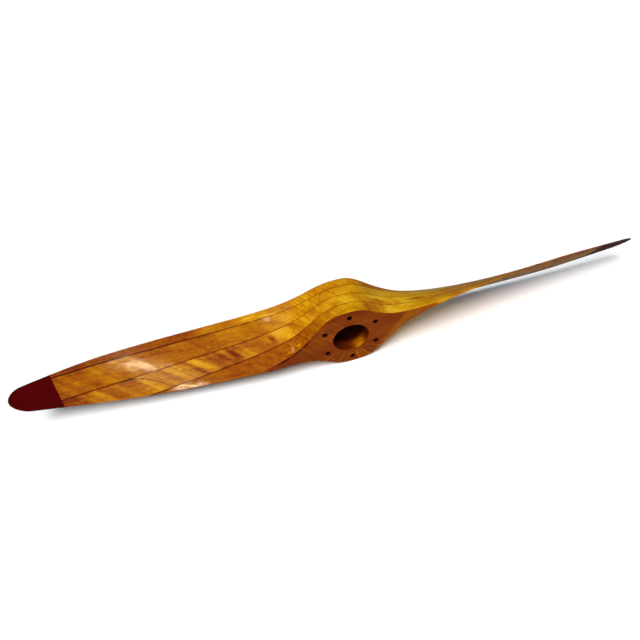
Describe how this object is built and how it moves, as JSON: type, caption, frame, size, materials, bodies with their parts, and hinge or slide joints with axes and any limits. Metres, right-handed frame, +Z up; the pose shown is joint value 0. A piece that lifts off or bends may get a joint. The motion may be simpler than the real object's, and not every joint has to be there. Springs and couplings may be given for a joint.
{
  "type": "laminated wooden propeller",
  "caption": "Two-blade laminated wooden propeller with a round bored hub, a ring of bolt holes and dark covered tips.",
  "frame": {"origin": "centre of the hub: on the shaft's axis, half-way between the two hub faces", "axes": "X along the blades, +Y along the shaft's axis from the rear hub face to the front one, +Z up"},
  "size_m": [1.254, 0.0904, 0.143],
  "materials": {
    "board_rear": "gloss varnish, red-brown stain on the hub face",
    "board_inner_rear": "gloss amber varnish",
    "board_inner_front": "gloss amber varnish",
    "board_front": "gloss amber varnish",
    "glue": "cured dark glue under varnish",
    "tip_cover": "gloss dark red"
  },
  "bodies": {
    "root": {"lamination_rear": "board_rear", "lamination_inner_rear": "board_inner_rear", "lamination_inner_front": "board_inner_front", "lamination_front": "board_front", "glue_line_rear": "glue", "glue_line_middle": "glue", "glue_line_front": "glue", "tip_cover_left": "tip_cover", "tip_cover_right": "tip_cover"}
  },
  "joints": []
}
